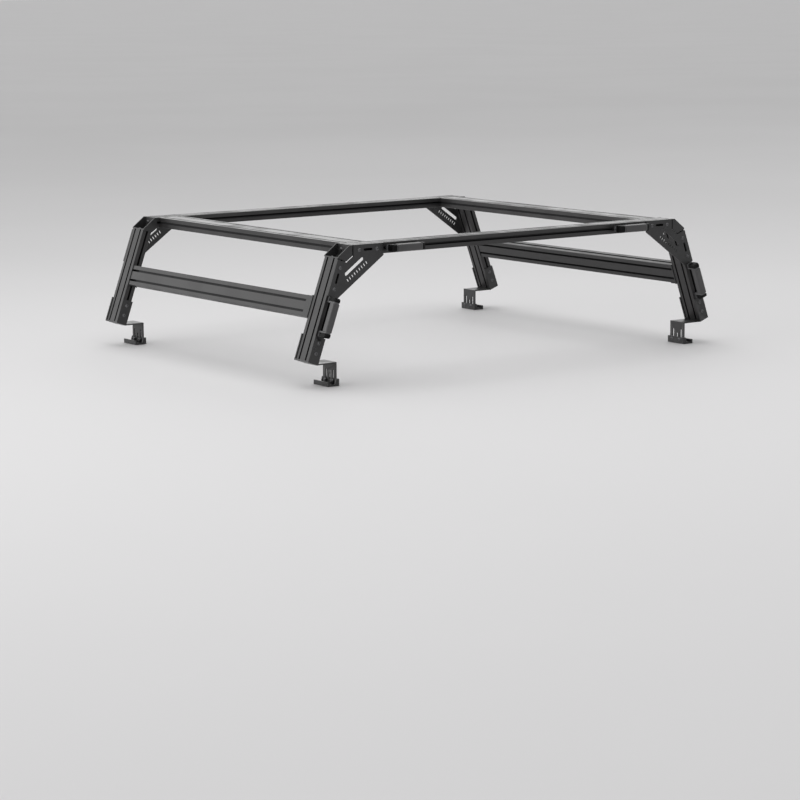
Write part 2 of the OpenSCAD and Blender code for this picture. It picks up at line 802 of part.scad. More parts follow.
at_crossbar_handle(LEFT) handle_grip();  // handle_grip_crossbar_left
at_crossbar_handle(RIGHT) handle_grip();  // handle_grip_crossbar_right
at_leg_handle(LEFT) handle_grip(leg_handle_length);  // handle_grip_leg_left
at_leg_handle(RIGHT) handle_grip(leg_handle_length);  // handle_grip_leg_right
handle_bolts();
handle_slot_nuts();
at_all_corners() gusset_bolts();
at_all_corners() gusset_slot_nuts();
at_all_corners() foot_bolts();
at_all_corners() foot_slot_nuts();
at_all_corners() corner_screws();
at_all_corners() top_rail_screws();
both_crossbar_covers();  // crossbar_covers
both_top_rail_covers();  // top_rail_covers
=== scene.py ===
"""Finishes and stage for a pickup ladder rack.

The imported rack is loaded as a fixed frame. Each operator in the sidebar panel makes one
group of pieces around it: softened profiles, coated brackets, handles, screws and the stage.
"""

import json
import math

import bmesh
import bpy
from bpy.props import FloatProperty, FloatVectorProperty, IntProperty, PointerProperty
from mathutils import Matrix, Vector


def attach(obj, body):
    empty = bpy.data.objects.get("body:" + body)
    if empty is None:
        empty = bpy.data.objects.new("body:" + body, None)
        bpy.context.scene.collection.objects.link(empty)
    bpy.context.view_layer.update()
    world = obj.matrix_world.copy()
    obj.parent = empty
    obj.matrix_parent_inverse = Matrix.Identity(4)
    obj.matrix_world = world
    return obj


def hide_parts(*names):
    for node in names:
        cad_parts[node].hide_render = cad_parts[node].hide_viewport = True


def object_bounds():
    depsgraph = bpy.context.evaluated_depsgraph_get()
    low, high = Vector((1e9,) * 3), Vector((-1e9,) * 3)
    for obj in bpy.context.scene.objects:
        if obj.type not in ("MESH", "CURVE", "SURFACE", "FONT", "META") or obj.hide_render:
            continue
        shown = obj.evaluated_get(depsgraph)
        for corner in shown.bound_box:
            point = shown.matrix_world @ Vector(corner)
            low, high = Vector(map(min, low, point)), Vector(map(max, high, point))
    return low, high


bl_info = {
    "name": "Ladder rack finishes",
    "version": (1, 0, 0),
    "blender": (4, 5, 0),
    "location": "3D View > Sidebar > Rack",
    "description": "Softens, coats and lights a pickup ladder rack",
    "category": "Object",
}

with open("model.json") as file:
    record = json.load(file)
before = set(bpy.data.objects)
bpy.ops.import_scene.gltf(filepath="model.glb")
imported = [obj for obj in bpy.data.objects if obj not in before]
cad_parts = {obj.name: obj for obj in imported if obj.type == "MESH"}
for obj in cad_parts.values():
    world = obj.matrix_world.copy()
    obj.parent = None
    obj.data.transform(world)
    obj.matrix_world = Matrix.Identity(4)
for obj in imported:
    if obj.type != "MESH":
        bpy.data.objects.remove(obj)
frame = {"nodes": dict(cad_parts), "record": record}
CAD_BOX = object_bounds()
NODES = frame["nodes"]
BODIES = frame["record"]["behaviour"]["bodies"]
BODY_OF = {node: body for body, members in BODIES.items() for node in members}
SLOT_OF = {s["node"]: s["material_slot"] for s in frame["record"]["subparts"]}

MM = 0.001
CORNERS = ("rear_left", "rear_right", "front_left", "front_right")
SIDES = ("left", "right")
LEG_LEAN = math.radians(20)
MERGE_DISTANCE = 2e-6
RECESS_DEPTH = 0.6 * MM  # a face deeper than this below a profile's outer faces is in a slot
PROFILE_SPAN = 80 * MM  # and it runs at least this far along the profile
EDGE_ANGLE = math.radians(28)  # sharper edges than this are rounded
SCREW_HEIGHT = 4.3 * MM
BOLT_RADIUS = 4.0 * MM
KEY_RADIUS = 2.5 * MM  # half the hexagon socket's width across flats
NUT_ACROSS = 13 * MM
NUT_HEIGHT = 6.5 * MM
TURNED_SIDES = 36  # sides of a screw's round shapes
FLAT_SHARE = 0.6  # a shape shorter than this share of its width is a nut, not a screw
FLOOR_RADIUS = 160
FLOOR_GAP = 0.3 * MM
FINISHES = {}


# ---- Settings ----


class RackFinish(bpy.types.PropertyGroup):
    """Colours, roughness and edge sizes of the rack's finishes"""

    coat_colour: FloatVectorProperty(
        name="Coating", description="Powder coat on brackets, gussets and feet",
        subtype="COLOR", size=3, min=0, max=1, default=(0.023, 0.023, 0.0234))
    profile_colour: FloatVectorProperty(
        name="Profiles", description="Anodised finish on the slotted profiles",
        subtype="COLOR", size=3, min=0, max=1, default=(0.024, 0.0232, 0.0236))
    # painted shade: the slot walls get a far darker colour than the profile faces, standing in for the
    # shade inside the slots
    slot_shade_colour: FloatVectorProperty(
        name="Slots", description="Inner walls of the slots, where the anodising is darkest",
        subtype="COLOR", size=3, min=0, max=1, default=(0.006, 0.006, 0.006))
    strip_colour: FloatVectorProperty(
        name="Cover strips", description="Moulded strips in the closed slots",
        subtype="COLOR", size=3, min=0, max=1, default=(0.010, 0.010, 0.0105))
    arm_colour: FloatVectorProperty(
        name="Handle arms", description="Coated sheet of the handle arms",
        subtype="COLOR", size=3, min=0, max=1, default=(0.09, 0.09, 0.092))
    grip_colour: FloatVectorProperty(
        name="Grips", description="Brushed square grips",
        subtype="COLOR", size=3, min=0, max=1, default=(0.052, 0.051, 0.052))
    cap_colour: FloatVectorProperty(
        name="End caps", description="Moulded caps on the handle ends",
        subtype="COLOR", size=3, min=0, max=1, default=(0.003, 0.003, 0.003))
    screw_colour: FloatVectorProperty(
        name="Screws", description="Plated screws and nuts",
        subtype="COLOR", size=3, min=0, max=1, default=(0.16, 0.16, 0.165))
    # Partly real wear where the coat is thin, partly painted highlight: the bevelled edges are coloured
    # lighter than the faces.
    edge_wear_and_highlight_colour: FloatVectorProperty(
        name="Worn edges and painted highlights", description="Where the finish is thin along an edge",
        subtype="COLOR", size=3, min=0, max=1, default=(0.055, 0.055, 0.057))
    plate_edge: FloatProperty(
        name="Plate edge radius", description="Softened edge of sheet and plate parts",
        subtype="DISTANCE", unit="LENGTH", min=0, max=0.002, default=0.7 * MM)
    cap_edge: FloatProperty(
        name="Cap edge radius", description="Softened edge of the moulded caps and of the grips",
        subtype="DISTANCE", unit="LENGTH", min=0, max=0.003, default=1.2 * MM)
    profile_edge: FloatProperty(
        name="Profile edge radius", description="Softened edge of the profiles' lips and cut ends",
        subtype="DISTANCE", unit="LENGTH", min=0, max=0.001, default=0.35 * MM)
    flange_height: FloatProperty(
        name="Screw flange height", description="Height of the thin flange under a screw head",
        subtype="DISTANCE", unit="LENGTH", min=0.0004, max=0.002, default=0.9 * MM)
    turn_seed: IntProperty(
        name="Screw turn seed", description="Fixed seed for how far each screw is turned",
        min=0, max=999, default=7)


class RackStage(bpy.types.PropertyGroup):
    """Floor, lights and camera"""

    floor_colour: FloatVectorProperty(
        name="Floor", description="Plain pale floor",
        subtype="COLOR", size=3, min=0, max=1, default=(0.615, 0.61, 0.615))
    floor_falloff: FloatProperty(
        name="Floor falloff", description="Brightness of the floor far off, against the floor near by",
        min=0.3, max=1, default=0.72)
    near_sky: FloatProperty(
        name="Light from behind", description="Strength of the surrounding light behind the rack's rear",
        min=0, max=4, default=0.55)
    far_sky: FloatProperty(
        name="Light from ahead", description="Strength of the surrounding light beyond the rack's front",
        min=0, max=4, default=1.5)
    side_light: FloatProperty(
        name="Side softbox", description="Power of the softbox on the rack's left, in watts",
        min=0, max=4000, default=70)
    top_light: FloatProperty(
        name="Top softbox", description="Power of the overhead softbox, in watts",
        min=0, max=4000, default=60)
    camera_turn: FloatProperty(
        name="Camera azimuth", description="Turn of the camera round the rack, 0 looks along +Y",
        subtype="ANGLE", unit="ROTATION", default=math.radians(-36.42))
    camera_rise: FloatProperty(
        name="Camera elevation", description="Height of the camera above the horizon",
        subtype="ANGLE", unit="ROTATION", default=math.radians(9.48))
    camera_roll: FloatProperty(
        name="Camera roll", description="Small turn about the viewing axis",
        subtype="ANGLE", unit="ROTATION", default=math.radians(-0.32))
    camera_distance: FloatProperty(
        name="Camera distance", description="From the camera to the point it is aimed at",
        subtype="DISTANCE", unit="LENGTH", default=9.881)
    camera_aim: FloatVectorProperty(
        name="Camera aim", description="Point on the middle of the view",
        subtype="TRANSLATION", unit="LENGTH", size=3, default=(0.0, 0.065, -0.230))
    camera_lens: FloatProperty(
        name="Focal length", description="For a sensor 36 mm wide",
        min=20, max=300, default=114.31)


# ---- Small helpers ----


def link(obj):
    """Puts an object in the scene and returns it."""
    bpy.context.scene.collection.objects.link(obj)
    return obj


def mesh_object(name, bm):
    """New object at the origin that takes over the bmesh."""
    mesh = bpy.data.meshes.new(name)
    bm.to_mesh(mesh)
    bm.free()
    return link(bpy.data.objects.new(name, mesh))


def merged_copy(*nodes):
    """The nodes' meshes as one bmesh with shared corners."""
    bm = bmesh.new()
    for node in nodes:
        bm.from_mesh(NODES[node].data)
    bmesh.ops.remove_doubles(bm, verts=bm.verts, dist=MERGE_DISTANCE)
    return bm


def flat_faces(bm):
    """Joins coplanar triangles into whole faces."""
    bmesh.ops.dissolve_limit(
        bm, angle_limit=math.radians(0.6), verts=bm.verts, edges=bm.edges, use_dissolve_boundaries=False)
    return bm


def islands(bm):
    """Lists of connected vertices."""
    left = set(bm.verts)
    while left:
        stack = [left.pop()]
        island = []
        while stack:
            vert = stack.pop()
            island.append(vert)
            for edge in vert.link_edges:
                other = edge.other_vert(vert)
                if other in left:
                    left.remove(other)
                    stack.append(other)
        yield island


def set_grain(obj, along, wide):
    """Stores each vertex's place as three lengths: across, over the wide side and along the profile."""
    turn = Matrix((wide.cross(along), wide, along))
    layer = obj.data.attributes.new("grain", "FLOAT_VECTOR", "POINT")
    layer.data.foreach_set("vector", [c for v in obj.data.vertices for c in turn @ v.co])


def mark_painted_slot_shade(obj):
    """Gives the faces inside a profile's slots the third material, a darker painted shade, by the stored
    places.
    """
    grain = [Vector(item.vector) for item in obj.data.attributes["grain"].data]
    low, high = ([edge(v[i] for v in grain) for i in range(2)] for edge in (min, max))
    for face in obj.data.polygons:
        points = [grain[i] for i in face.vertices]
        centre = sum(points, Vector()) / len(points)
        depth = min(min(centre[i] - low[i], high[i] - centre[i]) for i in range(2))
        span = max(p.z for p in points) - min(p.z for p in points)
        if depth > RECESS_DEPTH and span > PROFILE_SPAN:
            face.material_index = 2


def softened(node, name, materials, radius, along=None, wide=None):
    """A copy of a CAD node with rounded edges, which stands for the node.

    A profile also has its long direction and the direction of its wide side.
    """
    obj = mesh_object(name, flat_faces(merged_copy(node)))
    obj.data.shade_smooth()
    for material in materials:
        obj.data.materials.append(material)
    if along:
        set_grain(obj, along, wide)
        mark_painted_slot_shade(obj)
    bevel = obj.modifiers.new("edges", "BEVEL")
    bevel.width = radius
    bevel.segments = 2
    bevel.limit_method = "ANGLE"
    bevel.angle_limit = EDGE_ANGLE
    # the bevels take the second, lighter material: part edge wear, part painted highlight
    bevel.material = 1
    bevel.face_strength_mode = "FSTR_AFFECTED"
    flat = obj.modifiers.new("flat_faces", "WEIGHTED_NORMAL")
    flat.use_face_influence = True
    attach(obj, BODY_OF[node])
    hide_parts(node)
    return obj


def paint(node, material):
    """Gives a CAD node that stays as it is its material."""
    slots = NODES[node].material_slots
    if not slots:
        raise RuntimeError(node + " has no material slot")
    for slot in slots:
        slot.material = material


# ---- Shader groups ----


def new_group(name, inputs, outputs):
    """Empty shader node group with its input and output nodes."""
    group = bpy.data.node_groups.new(name, "ShaderNodeTree")
    for label, kind, default in inputs:
        socket = group.interface.new_socket(label, in_out="INPUT", socket_type=kind)
        if default is not None:
            socket.default_value = default
    for label in outputs:
        group.interface.new_socket(label, in_out="OUTPUT", socket_type="NodeSocketFloat")
    return group, group.nodes.new("NodeGroupInput"), group.nodes.new("NodeGroupOutput")


def noise(tree, vector, scale, detail, roughness=0.5):
    """Noise texture on a vector socket; the scale is a number or a socket."""
    node = tree.nodes.new("ShaderNodeTexNoise")
    tree.links.new(vector, node.inputs["Vector"])
    if isinstance(scale, (int, float)):
        node.inputs["Scale"].default_value = scale
    else:
        tree.links.new(scale, node.inputs["Scale"])
    node.inputs["Detail"].default_value = detail
    node.inputs["Roughness"].default_value = roughness
    return node.outputs["Factor"] if "Factor" in node.outputs else node.outputs["Fac"]


def remap(tree, value, low, high, to_low=0.0, to_high=1.0):
    """Smooth step of a socket from one range to another."""
    node = tree.nodes.new("ShaderNodeMapRange")
    node.interpolation_type = "SMOOTHSTEP"
    tree.links.new(value, node.inputs["Value"])
    for label, number in (("From Min", low), ("From Max", high), ("To Min", to_low), ("To Max", to_high)):
        node.inputs[label].default_value = number
    return node.outputs["Result"]


def multiply(tree, a, b):
    node = tree.nodes.new("ShaderNodeMath")
    node.operation = "MULTIPLY"
    tree.links.new(a, node.inputs[0])
    if isinstance(b, (int, float)):
        node.inputs[1].default_value = b
    else:
        tree.links.new(b, node.inputs[1])
    return node.outputs[0]


def add(tree, a, b):
    node = tree.nodes.new("ShaderNodeMath")
    node.operation = "ADD"
    tree.links.new(a, node.inputs[0])
    tree.links.new(b, node.inputs[1])
    return node.outputs[0]


def coat_grain_group():
    """Fine grain of a coating, broad handling patches and small specks."""
    group, source, result = new_group(
        "Coat grain",
        (("Vector", "NodeSocketVector", None), ("Grain Scale", "NodeSocketFloat", 1100.0),
         ("Patch Scale", "NodeSocketFloat", 7.0)),
        ("Grain", "Patches", "Specks"))
    vector = source.outputs["Vector"]
    fine = noise(group, vector, source.outputs["Grain Scale"], 3.0, 0.6)
    group.links.new(remap(group, fine, 0.28, 0.72), result.inputs["Grain"])
    broad = noise(group, vector, source.outputs["Patch Scale"], 5.0, 0.62)
    group.links.new(remap(group, broad, 0.34, 0.68), result.inputs["Patches"])
    dots = group.nodes.new("ShaderNodeTexVoronoi")
    dots.inputs["Scale"].default_value = 260.0
    group.links.new(vector, dots.inputs["Vector"])
    near = remap(group, dots.outputs["Distance"], 0.10, 0.22, 1.0, 0.0)
    sparse = remap(group, noise(group, vector, 31.0, 2.0), 0.56, 0.70)
    group.links.new(multiply(group, near, sparse), result.inputs["Specks"])
    return group


def drawn_lines_group():
    """Faint lines along a drawn profile, from its grain coordinates."""
    group, source, result = new_group(
        "Drawn lines",
        (("Vector", "NodeSocketVector", None), ("Line Scale", "NodeSocketFloat", 620.0)),
        ("Lines", "Bands"))
    stretch = group.nodes.new("ShaderNodeMapping")
    stretch.inputs["Scale"].default_value = (1.0, 1.0, 0.006)
    group.links.new(source.outputs["Vector"], stretch.inputs["Vector"])
    lines = noise(group, stretch.outputs["Vector"], source.outputs["Line Scale"], 2.0, 0.55)
    group.links.new(remap(group, lines, 0.3, 0.7), result.inputs["Lines"])
    bands = noise(group, stretch.outputs["Vector"], 90.0, 3.0)
    group.links.new(remap(group, bands, 0.32, 0.68), result.inputs["Bands"])
    return group


# ---- Materials ----


class Finish:
    """A Principled material under construction, with the shared grain group in it."""

    def __init__(self, name, colour, roughness, metallic=0.0, grain_scale=1100.0, patch_scale=7.0,
                 attribute=None):
        self.material = bpy.data.materials.new(name)
        self.material.use_nodes = True
        self.material.diffuse_color = (*colour, 1.0)
        self.tree = self.material.node_tree
        self.tree.nodes.clear()
        self.shader = self.tree.nodes.new("ShaderNodeBsdfPrincipled")
        output = self.tree.nodes.new("ShaderNodeOutputMaterial")
        self.tree.links.new(self.shader.outputs["BSDF"], output.inputs["Surface"])
        self.shader.inputs["Metallic"].default_value = metallic
        if attribute:
            source = self.tree.nodes.new("ShaderNodeAttribute")
            source.attribute_name = attribute
            self.vector = source.outputs["Vector"]
        else:
            self.vector = self.tree.nodes.new("ShaderNodeTexCoord").outputs["Object"]
        self.grain = self.group("Coat grain", {"Grain Scale": grain_scale, "Patch Scale": patch_scale})
        self.colour = colour
        self.roughness = roughness

    def group(self, name, values):
        node = self.tree.nodes.new("ShaderNodeGroup")
        node.node_tree = bpy.data.node_groups[name]
        for label, value in values.items():
            node.inputs[label].default_value = value
        self.tree.links.new(self.vector, node.inputs["Vector"])
        return node

    def mix(self, factor, first, second):
        """Colour between two colours or sockets by a factor socket."""
        node = self.tree.nodes.new("ShaderNodeMix")
        node.data_type = "RGBA"
        self.tree.links.new(factor, node.inputs["Factor"])
        for label, value in (("A", first), ("B", second)):
            socket = next(s for s in node.inputs if s.name == label and s.type == "RGBA")
            if isinstance(value, tuple):
                socket.default_value = (*value, 1.0)
            else:
                self.tree.links.new(value, socket)
        return next(s for s in node.outputs if s.type == "RGBA")

    def finish(self, lighter, specks, spread, bump, heights=(), specular=0.5):
        """Links colour, roughness and bump, and returns the material.

        Lighter and specks scale the colour in patches and dots, spread is how far the
        roughness wanders either way, and bump is the depth of the grain in metres.
        """
        tree = self.tree
        self.shader.inputs["Specular IOR Level"].default_value = specular
        base = self.mix(self.grain.outputs["Patches"], self.colour, scaled(self.colour, lighter))
        base = self.mix(self.grain.outputs["Specks"], base, scaled(self.colour, specks))
        tree.links.new(base, self.shader.inputs["Base Color"])
        rough = remap(tree, self.grain.outputs["Patches"], 0.0, 1.0,
                      self.roughness - spread, self.roughness + spread)
        tree.links.new(rough, self.shader.inputs["Roughness"])
        height = self.grain.outputs["Grain"]
        for extra in heights:
            height = add(tree, height, extra)
        node = tree.nodes.new("ShaderNodeBump")
        node.inputs["Strength"].default_value = 1.0
        node.inputs["Distance"].default_value = bump
        tree.links.new(height, node.inputs["Height"])
        tree.links.new(node.outputs["Normal"], self.shader.inputs["Normal"])
        return self.material


    def darken_along_y(self, start, stop, factor):
        """Scales the finished base colour down over a distance."""
        tree = self.tree
        place = tree.nodes.new("ShaderNodeSeparateXYZ")
        tree.links.new(self.vector, place.inputs["Vector"])
        far = remap(tree, place.outputs["Y"], start, stop)
        link = self.shader.inputs["Base Color"].links[0]
        tree.links.new(self.mix(far, link.from_socket, scaled(self.colour, factor)),
                       self.shader.inputs["Base Color"])


def scaled(colour, factor):
    """A colour made brighter or darker, up to white."""
    return tuple(min(1.0, c * factor) for c in colour)


def build_materials():
    """All finishes by name."""
    coat_grain_group()
    drawn_lines_group()
    look = bpy.context.scene.rack_finish
    coat, edge = tuple(look.coat_colour), tuple(look.edge_wear_and_highlight_colour)
    arm, grip, cap = tuple(look.arm_colour), tuple(look.grip_colour), tuple(look.cap_colour)
    profile = Finish("drawn_anodised", tuple(look.profile_colour), 0.37, attribute="grain")
    lines = profile.group("Drawn lines", {"Line Scale": 620.0})
    drawn = multiply(profile.tree, lines.outputs["Lines"], 1.3)
    return {
        "coat": Finish("satin_powder_coat", coat, 0.36).finish(
            lighter=1.45, specks=2.6, spread=0.09, bump=0.03 * MM, specular=0.46),
        # The edge finishes are lighter than their faces: part edge wear, part painted highlight.
        "coat_edge": Finish("powder_coat_edge", edge, 0.34).finish(
            lighter=0.6, specks=1.6, spread=0.06, bump=0.010 * MM),
        "profile": profile.finish(
            lighter=1.4, specks=2.2, spread=0.08, bump=0.009 * MM, heights=(drawn,), specular=0.48),
        # painted shade: the slot walls are coloured darker than the open faces
        "slot_shade": Finish("painted_slot_shade", tuple(look.slot_shade_colour), 0.55).finish(
            lighter=1.6, specks=2.5, spread=0.06, bump=0.006 * MM, specular=0.15),
        "profile_edge": Finish("anodised_edge", scaled(edge, 0.8), 0.33).finish(
            lighter=0.7, specks=1.5, spread=0.06, bump=0.006 * MM),
        "strip": Finish("moulded_strip", tuple(look.strip_colour), 0.58, grain_scale=700.0).finish(
            lighter=1.25, specks=1.6, spread=0.05, bump=0.02 * MM, specular=0.16),
        "arm": Finish("coated_arm", arm, 0.40).finish(
            lighter=1.3, specks=1.7, spread=0.08, bump=0.03 * MM),
        "arm_edge": Finish("coated_arm_edge", scaled(arm, 1.7), 0.36).finish(
            lighter=0.8, specks=1.3, spread=0.05, bump=0.010 * MM),
        "grip": Finish("brushed_grip", grip, 0.38, grain_scale=1500.0).finish(
            lighter=1.35, specks=1.7, spread=0.08, bump=0.016 * MM),
        "grip_edge": Finish("brushed_grip_edge", scaled(grip, 1.6), 0.34).finish(
            lighter=0.8, specks=1.3, spread=0.05, bump=0.008 * MM),
        "cap": Finish("moulded_cap", cap, 0.5, grain_scale=600.0).finish(
            lighter=1.6, specks=2.0, spread=0.06, bump=0.02 * MM, specular=0.12),
        "cap_edge": Finish("moulded_cap_edge", scaled(cap, 3.0), 0.45).finish(
            lighter=0.8, specks=1.5, spread=0.05, bump=0.015 * MM, specular=0.3),
        "screw": Finish(
            "dark_plated_steel", tuple(look.screw_colour), 0.33, metallic=0.85, grain_scale=900.0,
            patch_scale=60.0).finish(lighter=0.7, specks=1.5, spread=0.08, bump=0.008 * MM),
    }


def finishes():
    """The finishes, made the first time they are asked for."""
    if not FINISHES:
        FINISHES.update(build_materials())
    return FINISHES


# ---- Screws ----


def screw_places(node, axis):
    """(seat, direction, head radius, shank length) of each screw in a node, along one row axis."""
    bm = merged_copy(node)
    others = [i for i in range(3) if i != axis]
    found = []
    for island in islands(bm):
        points = [v.co for v in island]
        middle = [(min(p[i] for p in points) + max(p[i] for p in points)) / 2 for i in others]

        def off_axis(p):
            return math.hypot(p[others[0]] - middle[0], p[others[1]] - middle[1])

        ends = min(p[axis] for p in points), max(p[axis] for p in points)
        radius = max(off_axis(p) for p in points)
        widest = [p[axis] for p in points if off_axis(p) > 0.999 * radius]
        seat = sum(widest) / len(widest)
        if ends[1] - ends[0] < 2 * radius * FLAT_SHARE:
            continue
        outward = 1 if ends[1] - seat < seat - ends[0] else -1
        place = Vector((0, 0, 0))
        place[axis] = seat
        place[others[0]], place[others[1]] = middle
        direction = Vector((0, 0, 0))
        direction[axis] = outward
        found.append((place, direction, radius, max(abs(seat - e) for e in ends)))
    bm.free()
    return found


def ring(bm, height, radius_at, count=TURNED_SIDES):
    """A ring of vertices at a height, with a radius for each angle."""
    turn = 2 * math.pi / count
    return [bm.verts.new((radius_at(i * turn) * math.cos(i * turn),
                          radius_at(i * turn) * math.sin(i * turn), height)) for i in range(count)]


def skin(bm, rings):
    """Faces between rings, closed at both ends."""
    count = len(rings[0])
    for low, high in zip(rings, rings[1:]):
        for i in range(count):
            j = (i + 1) % count
            bm.faces.new((low[i], low[j], high[j], high[i]))
    bm.faces.new(list(reversed(rings[0])))
    bm.faces.new(rings[-1])


def hexagon(flat_radius):
    """Radius of a hexagon at an angle."""
    sixth = math.pi / 3
    return lambda a: flat_radius / math.cos((a + sixth / 2) % sixth - sixth / 2)


def button_screw(name, radius, height, shank, shank_radius, nut=None):
    """Flanged button screw with its seat at z = 0, and an optional (across flats, height, place) nut."""
    flange = bpy.context.scene.rack_finish.flange_height
    dome, rim, break_edge = 0.80 * radius, 0.2 * MM, 0.3 * MM
    key = hexagon(KEY_RADIUS)
    bm = bmesh.new()
    rings = [ring(bm, -shank, lambda a: 0.86 * shank_radius),
             ring(bm, -shank + 0.14 * shank_radius, lambda a: shank_radius),
             ring(bm, 0, lambda a: shank_radius),
             ring(bm, 0, lambda a: radius - rim),
             ring(bm, rim, lambda a: radius),
             ring(bm, 0.7 * flange, lambda a: radius),
             ring(bm, flange, lambda a: 0.97 * radius)]
    for step in range(7):
        lift = math.radians(6 + 11 * step)
        rings.append(ring(bm, flange + (height - flange) * math.sin(lift) / math.sin(math.radians(72)),
                          lambda a, c=math.cos(lift): dome * (0.12 + 0.88 * c)))
    rings.append(ring(bm, height, lambda a: key(a) + 0.35 * MM))
    rings.append(ring(bm, height - break_edge, key))
    rings.append(ring(bm, 0.42 * height, key))
    rings.append(ring(bm, 0.30 * height, lambda a: 0.1 * MM))
    skin(bm, rings)
    if nut:
        across, thick, place = nut
        flats = hexagon(across / 2)
        inset = 0.94
        hole = shank_radius + 0.05 * MM
        turns = [ring(bm, place, lambda a: inset * across / 2),
                 ring(bm, place - 0.08 * thick, flats),
                 ring(bm, place - 0.92 * thick, flats),
                 ring(bm, place - thick, lambda a: inset * across / 2),
                 ring(bm, place - thick, lambda a: hole),
                 ring(bm, place, lambda a: hole)]
        for low, high in zip(turns, turns[1:] + turns[:1]):
            for i in range(TURNED_SIDES):
                j = (i + 1) % TURNED_SIDES
                bm.faces.new((high[i], high[j], low[j], low[i]))
    bmesh.ops.recalc_face_normals(bm, faces=bm.faces)
    obj = mesh_object(name, bm)
    obj.data.shade_smooth()
    obj.data.set_sharp_from_angle(angle=math.radians(35))
    return obj


def screw_tree():
    """Geometry nodes that set one screw on each point, turned by a fixed random angle."""
    name = "Screws on places"
    if name in bpy.data.node_groups:
        return bpy.data.node_groups[name]
    tree = bpy.data.node_groups.new(name, "GeometryNodeTree")
    for label, kind in (("Places", "NodeSocketGeometry"), ("Screw", "NodeSocketObject"),
                        ("Size", "NodeSocketFloat"), ("Seed", "NodeSocketInt"),
                        ("Finish", "NodeSocketMaterial")):
        tree.interface.new_socket(label, in_out="INPUT", socket_type=kind)
    tree.interface.new_socket("Geometry", in_out="OUTPUT", socket_type="NodeSocketGeometry")
    source, result = tree.nodes.new("NodeGroupInput"), tree.nodes.new("NodeGroupOutput")
    info = tree.nodes.new("GeometryNodeObjectInfo")
    instance = tree.nodes.new("GeometryNodeInstanceOnPoints")
    facing = tree.nodes.new("GeometryNodeInputNamedAttribute")
    facing.data_type = "FLOAT_VECTOR"
    facing.inputs["Name"].default_value = "facing"
    align = tree.nodes.new("FunctionNodeAlignRotationToVector")
    align.axis = "Z"
    turn = tree.nodes.new("FunctionNodeRandomValue")
    turn.data_type = "FLOAT"
    spin = tree.nodes.new("ShaderNodeCombineXYZ")
    rotate = tree.nodes.new("GeometryNodeRotateInstances")
    realize = tree.nodes.new("GeometryNodeRealizeInstances")
    finish = tree.nodes.new("GeometryNodeSetMaterial")
    joins = tree.links.new
    joins(source.outputs["Places"], instance.inputs["Points"])
    joins(source.outputs["Screw"], info.inputs["Object"])
    joins(info.outputs["Geometry"], instance.inputs["Instance"])
    joins(next(s for s in facing.outputs if s.type == "VECTOR"), align.inputs["Vector"])
    joins(align.outputs["Rotation"], instance.inputs["Rotation"])
    joins(source.outputs["Size"], instance.inputs["Scale"])
    shown = [s for s in turn.inputs if s.type == "VALUE"]
    shown[0].default_value = 0.0
    shown[1].default_value = 2 * math.pi
    joins(source.outputs["Seed"], turn.inputs["Seed"])
    joins(next(s for s in turn.outputs if s.type == "VALUE"), spin.inputs["Z"])
    joins(instance.outputs["Instances"], rotate.inputs["Instances"])
    joins(spin.outputs["Vector"], rotate.inputs["Rotation"])
    joins(rotate.outputs["Instances"], realize.inputs["Geometry"])
    joins(realize.outputs["Geometry"], finish.inputs["Geometry"])
    joins(source.outputs["Finish"], finish.inputs["Material"])
    joins(finish.outputs["Geometry"], result.inputs["Geometry"])
    return tree


def place_screws(node, name, axis, shank_radius, nut=None):
    """One piece with all the screws of a CAD node, which it stands for."""
    places = screw_places(node, axis)
    if not places:
        raise RuntimeError("no screws found in " + node)
    look = bpy.context.scene.rack_finish
    radius, shank = places[0][2], places[0][3]
    if nut:
        nut = (nut[0], nut[1], nut[1] + 1.5 * MM - shank)
    screw = button_screw(name + "_pattern", radius, SCREW_HEIGHT, shank, shank_radius, nut)
    bm = bmesh.new()
    for place, _, _, _ in places:
        bm.verts.new(place)
    obj = mesh_object(name, bm)
    layer = obj.data.attributes.new("facing", "FLOAT_VECTOR", "POINT")
    layer.data.foreach_set("vector", [c for place in places for c in place[1]])
    tree = screw_tree()
    modifier = obj.modifiers.new("screws", "NODES")
    modifier.node_group = tree
    values = {"Screw": screw, "Size": 1.0, "Seed": look.turn_seed, "Finish": finishes()["screw"]}
    for item in tree.interface.items_tree:
        if item.in_out == "INPUT" and item.name in values:
            modifier[item.identifier] = values[item.name]
    depsgraph = bpy.context.evaluated_depsgraph_get()
    mesh = bpy.data.meshes.new_from_object(obj.evaluated_get(depsgraph))
    obj.modifiers.remove(modifier)
    obj.data = mesh
    bpy.data.objects.remove(screw)
    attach(obj, BODY_OF[node])
    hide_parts(node)


# ---- Operators ----


class RACK_OT_profiles(bpy.types.Operator):
    """Softened crossbars, top rails, legs and side rails"""

    bl_idname = "rack.profiles"
    bl_label = "Profiles"

    def execute(self, context):
        made = finishes()
        # the third finish is the painted shade on the slot walls
        finish = (made["profile"], made["profile_edge"], made["slot_shade"])
        radius = context.scene.rack_finish.profile_edge
        across, forward, upright = Vector((1, 0, 0)), Vector((0, 1, 0)), Vector((0, 0, 1))
        for end in ("rear", "front"):
            softened("crossbar_" + end, f"crossbar_{end}_profile", finish, radius, across, forward)
        for side in SIDES:
            lean = LEG_LEAN if side == "left" else -LEG_LEAN
            up = Vector((math.sin(lean), 0, math.cos(lean)))
            softened("top_rail_" + side, f"top_rail_{side}_profile", finish, radius, forward, upright)
            softened("side_rail_" + side, f"side_rail_{side}_profile", finish, radius, forward, up)
            for end in ("rear", "front"):
                softened(f"leg_{end}_{side}", f"leg_{end}_{side}_profile", finish, radius, up, forward)
        return {"FINISHED"}


